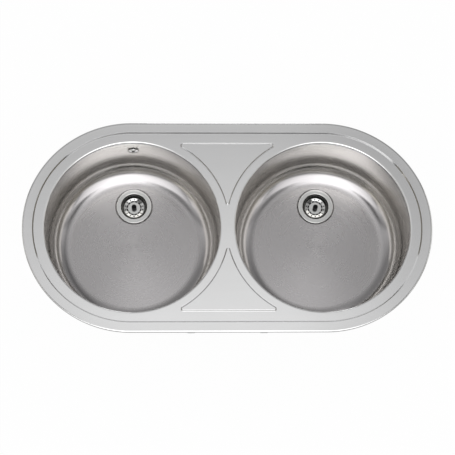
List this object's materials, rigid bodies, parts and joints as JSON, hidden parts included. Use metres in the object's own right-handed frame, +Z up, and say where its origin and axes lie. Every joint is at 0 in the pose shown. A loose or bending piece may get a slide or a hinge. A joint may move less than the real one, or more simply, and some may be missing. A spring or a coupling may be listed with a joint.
{
  "type": "double bowl kitchen sink",
  "caption": "Inset stainless steel kitchen sink, round-ended, with two round bowls, basket strainer wastes, an overflow and worktop clamps.",
  "frame": {"origin": "middle of the sink on the worktop's top surface, which is the underside of the rim seal", "axes": "+X along the sink to the right as seen from the front, +Y from the front edge to the rear where the wastes are, +Z up"},
  "size_m": [0.84, 0.445, 0.2392],
  "materials": {
    "satin_steel": "satin 18/10 stainless steel with a fine brushed grain on the deck and a spun grain in the bowls",
    "polished_steel": "bright polished stainless steel",
    "zinc_steel": "zinc-plated pressed steel, dull bluish grey",
    "black_rubber": "matt black rubber",
    "dark_plastic": "glossy black moulded plastic",
    "body_plastic": "matt black polypropylene",
    "foam_strip": "dark grey closed-cell foam strip",
    "damping_pad": "dark grey bitumen damping pad"
  },
  "bodies": {
    "root": {"sink_deck": "satin_steel", "rim_seal": "foam_strip", "left_bowl": "satin_steel", "left_sound_pad": "damping_pad", "left_strainer_flange": "polished_steel", "left_flange_gasket": "black_rubber", "left_body_gasket": "black_rubber", "left_waste_body": "body_plastic", "left_waste_screw": "polished_steel", "right_bowl": "satin_steel", "right_sound_pad": "damping_pad", "right_strainer_flange": "polished_steel", "right_flange_gasket": "black_rubber", "right_body_gasket": "black_rubber", "right_waste_body": "body_plastic", "right_waste_screw": "polished_steel", "overflow_rose": "polished_steel", "overflow_gasket": "black_rubber", "overflow_housing": "body_plastic", "overflow_screw": "polished_steel", "overflow_hose": "body_plastic", "upper_hose_nut": "dark_plastic", "lower_hose_nut": "dark_plastic", "rear_left_clamp_hanger": "zinc_steel", "rear_right_clamp_hanger": "zinc_steel", "front_left_clamp_hanger": "zinc_steel", "front_right_clamp_hanger": "zinc_steel", "right_end_rear_clamp_hanger": "zinc_steel", "right_end_front_clamp_hanger": "zinc_steel", "left_end_rear_clamp_hanger": "zinc_steel", "left_end_front_clamp_hanger": "zinc_steel"},
    "left_basket": {"left_basket": "polished_steel", "left_basket_knob": "dark_plastic", "left_plug_seal": "black_rubber"},
    "right_basket": {"right_basket": "polished_steel", "right_basket_knob": "dark_plastic", "right_plug_seal": "black_rubber"},
    "rear_left_clamp_arm": {"rear_left_clamp_arm": "zinc_steel"},
    "rear_left_clamp_screw": {"rear_left_clamp_screw": "zinc_steel"},
    "rear_right_clamp_arm": {"rear_right_clamp_arm": "zinc_steel"},
    "rear_right_clamp_screw": {"rear_right_clamp_screw": "zinc_steel"},
    "front_left_clamp_arm": {"front_left_clamp_arm": "zinc_steel"},
    "front_left_clamp_screw": {"front_left_clamp_screw": "zinc_steel"},
    "front_right_clamp_arm": {"front_right_clamp_arm": "zinc_steel"},
    "front_right_clamp_screw": {"front_right_clamp_screw": "zinc_steel"},
    "right_end_rear_clamp_arm": {"right_end_rear_clamp_arm": "zinc_steel"},
    "right_end_rear_clamp_screw": {"right_end_rear_clamp_screw": "zinc_steel"},
    "right_end_front_clamp_arm": {"right_end_front_clamp_arm": "zinc_steel"},
    "right_end_front_clamp_screw": {"right_end_front_clamp_screw": "zinc_steel"},
    "left_end_rear_clamp_arm": {"left_end_rear_clamp_arm": "zinc_steel"},
    "left_end_rear_clamp_screw": {"left_end_rear_clamp_screw": "zinc_steel"},
    "left_end_front_clamp_arm": {"left_end_front_clamp_arm": "zinc_steel"},
    "left_end_front_clamp_screw": {"left_end_front_clamp_screw": "zinc_steel"}
  },
  "joints": [
    {"name": "left_basket_lift", "type": "slide", "parent": "root", "child": "left_basket", "axis": [0, 0, 1], "range_m": [0, 0.2]},
    {"name": "right_basket_lift", "type": "slide", "parent": "root", "child": "right_basket", "axis": [0, 0, 1], "range_m": [0, 0.2]},
    {"name": "rear_left_clamp_swing", "type": "hinge", "parent": "root", "child": "rear_left_clamp_arm", "pos_m": [-0.075, 0.204, -0.046], "axis": [1, 0, 0], "range_deg": [0, 95]},
    {"name": "rear_left_clamp_tighten", "type": "slide", "parent": "rear_left_clamp_arm", "child": "rear_left_clamp_screw", "axis": [0, 1, 0], "range_m": [0, 0.014]},
    {"name": "rear_right_clamp_swing", "type": "hinge", "parent": "root", "child": "rear_right_clamp_arm", "pos_m": [0.075, 0.204, -0.046], "axis": [1, 0, 0], "range_deg": [0, 95]},
    {"name": "rear_right_clamp_tighten", "type": "slide", "parent": "rear_right_clamp_arm", "child": "rear_right_clamp_screw", "axis": [0, 1, 0], "range_m": [0, 0.014]},
    {"name": "front_left_clamp_swing", "type": "hinge", "parent": "root", "child": "front_left_clamp_arm", "pos_m": [-0.075, -0.204, -0.046], "axis": [-1, 0, 0], "range_deg": [0, 95]},
    {"name": "front_left_clamp_tighten", "type": "slide", "parent": "front_left_clamp_arm", "child": "front_left_clamp_screw", "axis": [0, -1, 0], "range_m": [0, 0.014]},
    {"name": "front_right_clamp_swing", "type": "hinge", "parent": "root", "child": "front_right_clamp_arm", "pos_m": [0.075, -0.204, -0.046], "axis": [-1, 0, 0], "range_deg": [0, 95]},
    {"name": "front_right_clamp_tighten", "type": "slide", "parent": "front_right_clamp_arm", "child": "front_right_clamp_screw", "axis": [0, -1, 0], "range_m": [0, 0.014]},
    {"name": "right_end_rear_clamp_swing", "type": "hinge", "parent": "root", "child": "right_end_rear_clamp_arm", "pos_m": [0.35377, 0.13113, -0.046], "axis": [0.6428, -0.766, 0], "range_deg": [0, 95]},
    {"name": "right_end_rear_clamp_tighten", "type": "slide", "parent": "right_end_rear_clamp_arm", "child": "right_end_rear_clamp_screw", "axis": [0.766, 0.6428, 0], "range_m": [0, 0.014]},
    {"name": "right_end_front_clamp_swing", "type": "hinge", "parent": "root", "child": "right_end_front_clamp_arm", "pos_m": [0.35377, -0.13113, -0.046], "axis": [-0.6428, -0.766, 0], "range_deg": [0, 95]},
    {"name": "right_end_front_clamp_tighten", "type": "slide", "parent": "right_end_front_clamp_arm", "child": "right_end_front_clamp_screw", "axis": [0.766, -0.6428, 0], "range_m": [0, 0.014]},
    {"name": "left_end_rear_clamp_swing", "type": "hinge", "parent": "root", "child": "left_end_rear_clamp_arm", "pos_m": [-0.35377, 0.13113, -0.046], "axis": [0.6428, 0.766, 0], "range_deg": [0, 95]},
    {"name": "left_end_rear_clamp_tighten", "type": "slide", "parent": "left_end_rear_clamp_arm", "child": "left_end_rear_clamp_screw", "axis": [-0.766, 0.6428, 0], "range_m": [0, 0.014]},
    {"name": "left_end_front_clamp_swing", "type": "hinge", "parent": "root", "child": "left_end_front_clamp_arm", "pos_m": [-0.35377, -0.13113, -0.046], "axis": [-0.6428, 0.766, 0], "range_deg": [0, 95]},
    {"name": "left_end_front_clamp_tighten", "type": "slide", "parent": "left_end_front_clamp_arm", "child": "left_end_front_clamp_screw", "axis": [-0.766, -0.6428, 0], "range_m": [0, 0.014]}
  ]
}
